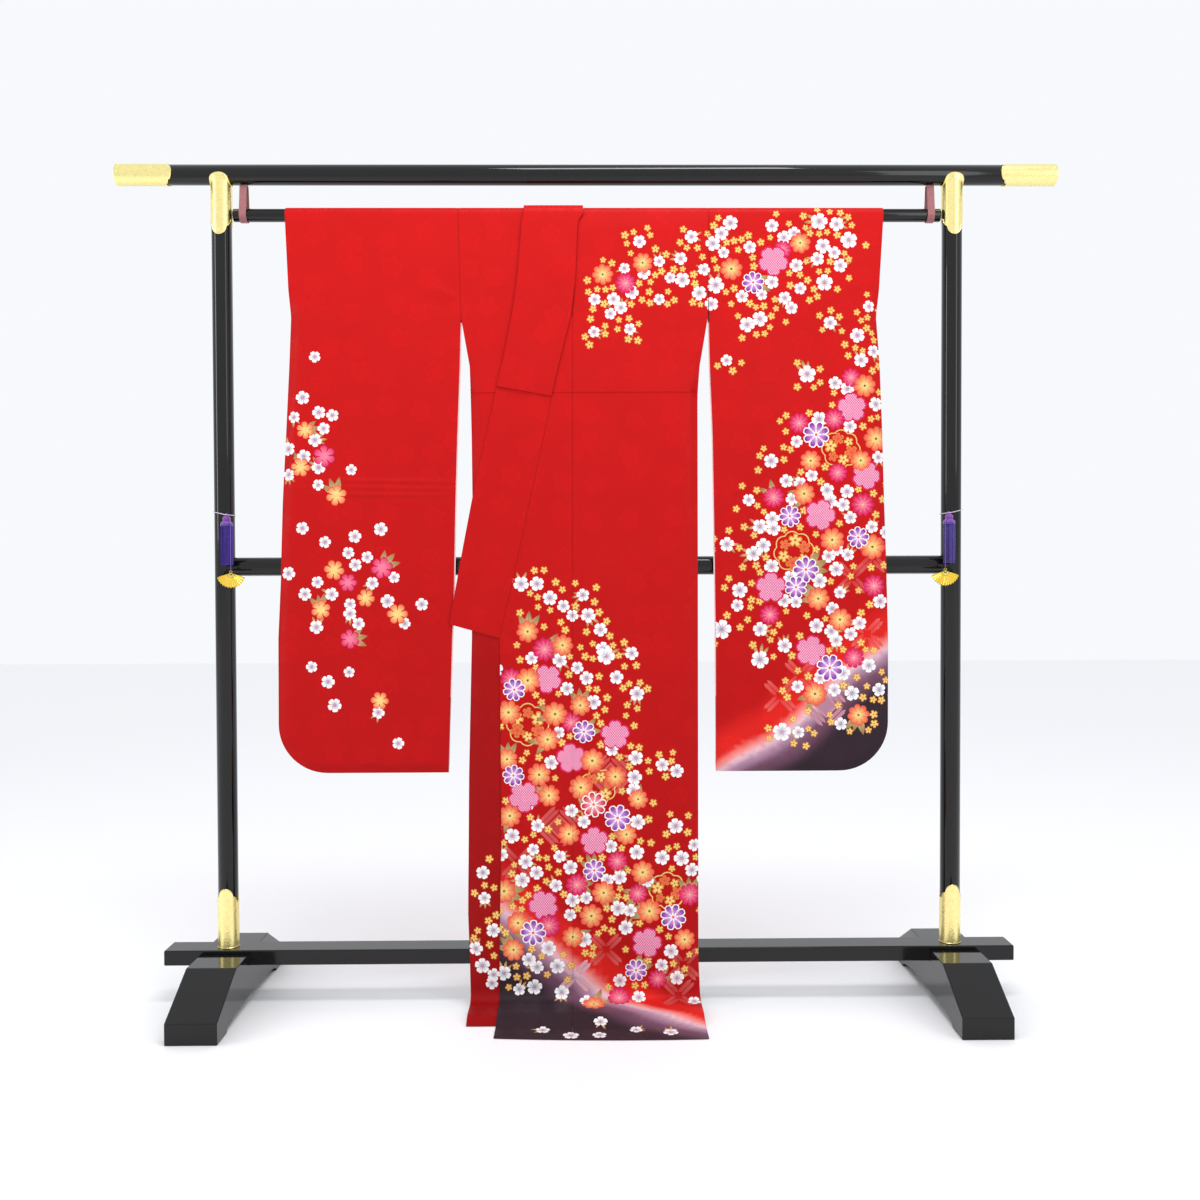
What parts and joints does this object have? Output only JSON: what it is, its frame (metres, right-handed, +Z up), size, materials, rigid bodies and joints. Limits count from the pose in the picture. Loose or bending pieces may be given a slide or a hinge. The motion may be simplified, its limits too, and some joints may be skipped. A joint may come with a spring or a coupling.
{
  "type": "furisode kimono on a kimono stand",
  "caption": "Long-sleeved silk kimono hung open-fronted by a rod through its sleeves, on a lacquered stand with gilt fittings, tassels and small fans.",
  "frame": {"origin": "on the floor, under the middle of the stand", "axes": "+X along the stand, towards the wearer's left sleeve; +Y towards the garment's back; +Z up"},
  "size_m": [1.83, 0.4576, 1.6371],
  "materials": {
    "black_lacquer": "black gloss lacquer",
    "gilt_brass": "gilt, softly brushed and engraved",
    "strap_webbing": "woven band",
    "pale_cord": "twisted silk",
    "tassel_silk": "silk thread",
    "red_silk": "dyed figured silk",
    "pale_lining": "plain silk"
  },
  "bodies": {
    "root": {"top_rail": "black_lacquer", "middle_rail": "black_lacquer", "hanging_rod": "black_lacquer", "base_beam": "black_lacquer", "post_left": "black_lacquer", "post_right": "black_lacquer", "foot_left": "black_lacquer", "foot_right": "black_lacquer", "rail_cap_left": "gilt_brass", "rail_cap_right": "gilt_brass", "top_fitting_left": "gilt_brass", "top_fitting_right": "gilt_brass", "foot_fitting_left": "gilt_brass", "foot_fitting_right": "gilt_brass", "fan_left": "gilt_brass", "fan_right": "gilt_brass", "strap_left": "strap_webbing", "strap_right": "strap_webbing", "tie_cord_left": "pale_cord", "tie_cord_right": "pale_cord", "fan_string_left": "pale_cord", "fan_string_right": "pale_cord", "tassel_left": "tassel_silk", "tassel_right": "tassel_silk", "body_right": "red_silk", "body_left": "red_silk", "overlap_right": "red_silk", "overlap_left": "red_silk", "collar_left": "red_silk", "collar_right": "red_silk", "over_collar": "red_silk", "sleeve_right": "red_silk", "sleeve_left": "red_silk", "lining_right": "pale_lining", "lining_left": "pale_lining"}
  },
  "joints": []
}
